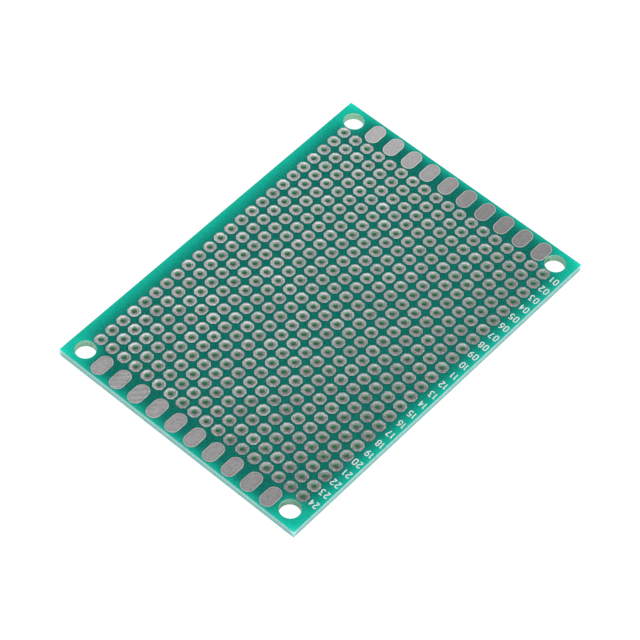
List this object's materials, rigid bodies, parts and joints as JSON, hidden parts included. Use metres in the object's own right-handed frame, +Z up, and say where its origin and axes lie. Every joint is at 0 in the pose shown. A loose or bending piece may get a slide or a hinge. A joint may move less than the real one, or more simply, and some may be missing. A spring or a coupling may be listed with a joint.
{
  "type": "prototype board",
  "caption": "Flat glass-epoxy prototype board with a grid of drilled, tinned solder pads, wide tinned pads along both short ends and a mounting hole in each corner.",
  "frame": {"origin": "centre of the underside of the board", "axes": "+Y along the length, towards the end of row 01; +X across the width, towards the long edge with the row numbers; +Z up, out of the pad side"},
  "size_m": [0.05, 0.07, 0.0016],
  "materials": {
    "laminate": "pale green glass-epoxy laminate, bare on the underside, cut edges and hole walls",
    "solder_mask": "green solder mask, semi-gloss, with white printed row numbers",
    "tinned_pad": "hot-levelled tin over copper, satin, slightly crowned and mottled"
  },
  "bodies": {
    "root": {"laminate": "laminate", "solder_mask": "solder_mask", "pads_row_01": "tinned_pad", "pads_row_02": "tinned_pad", "pads_row_03": "tinned_pad", "pads_row_04": "tinned_pad", "pads_row_05": "tinned_pad", "pads_row_06": "tinned_pad", "pads_row_07": "tinned_pad", "pads_row_08": "tinned_pad", "pads_row_09": "tinned_pad", "pads_row_10": "tinned_pad", "pads_row_11": "tinned_pad", "pads_row_12": "tinned_pad", "pads_row_13": "tinned_pad", "pads_row_14": "tinned_pad", "pads_row_15": "tinned_pad", "pads_row_16": "tinned_pad", "pads_row_17": "tinned_pad", "pads_row_18": "tinned_pad", "pads_row_19": "tinned_pad", "pads_row_20": "tinned_pad", "pads_row_21": "tinned_pad", "pads_row_22": "tinned_pad", "pads_row_23": "tinned_pad", "pads_row_24": "tinned_pad", "end_pads_first": "tinned_pad", "end_pads_last": "tinned_pad"}
  },
  "joints": []
}
